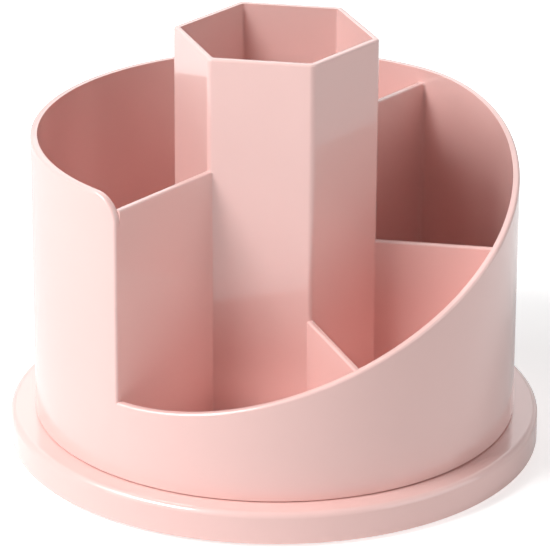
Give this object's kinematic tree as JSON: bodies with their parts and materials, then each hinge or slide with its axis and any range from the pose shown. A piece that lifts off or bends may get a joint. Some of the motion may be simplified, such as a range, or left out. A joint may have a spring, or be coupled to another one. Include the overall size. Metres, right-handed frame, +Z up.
{
  "type": "pen holder",
  "caption": "Round desk pen holder that turns on a flat base: slanted rim with a step, hexagonal centre tube taller than the rim, radial dividers, ball ring hidden underneath.",
  "frame": {"origin": "centre of the footprint, on the table, on the axis that the cup turns about", "axes": "+Z up along the turning axis; +Y away from the front, +X to the right, as the picture shows the holder"},
  "size_m": [0.1542, 0.1542, 0.124],
  "materials": {
    "pink_plastic": "smooth, glossy, moulded in colour",
    "natural_plastic": "smooth, satin, uncoloured bearing plastic",
    "polished_steel": "polished bearing balls",
    "plated_steel": "bright zinc plate",
    "foot_rubber": "matt, non-slip"
  },
  "bodies": {
    "base": {"base_disc": "pink_plastic", "base_cover": "pink_plastic", "cover_screws": "plated_steel", "pivot_bush": "natural_plastic", "foot_1": "foot_rubber", "foot_2": "foot_rubber", "foot_3": "foot_rubber", "foot_4": "foot_rubber", "foot_5": "foot_rubber", "foot_6": "foot_rubber"},
    "ball_ring": {"ball_cage": "natural_plastic", "ball_01": "polished_steel", "ball_02": "polished_steel", "ball_03": "polished_steel", "ball_04": "polished_steel", "ball_05": "polished_steel", "ball_06": "polished_steel", "ball_07": "polished_steel", "ball_08": "polished_steel", "ball_09": "polished_steel", "ball_10": "polished_steel", "ball_11": "polished_steel", "ball_12": "polished_steel"},
    "cup": {"cup_shell": "pink_plastic", "centre_tube": "pink_plastic", "divider_step": "pink_plastic", "divider_front": "pink_plastic", "divider_right": "pink_plastic", "divider_back": "pink_plastic", "retaining_washer": "plated_steel", "pivot_screw": "plated_steel"}
  },
  "joints": [
    {"name": "cup_spin", "type": "hinge", "parent": "base", "child": "cup", "pos_m": [0, 0, 0.0125], "axis": [0, 0, 1], "continuous": true},
    {"name": "ball_ring_spin", "type": "hinge", "parent": "base", "child": "ball_ring", "pos_m": [0, 0, 0.0125], "axis": [0, 0, 1], "continuous": true}
  ],
  "couplings": [
    {"joint": "ball_ring_spin", "follows": "cup_spin", "ratio": 0.5}
  ]
}
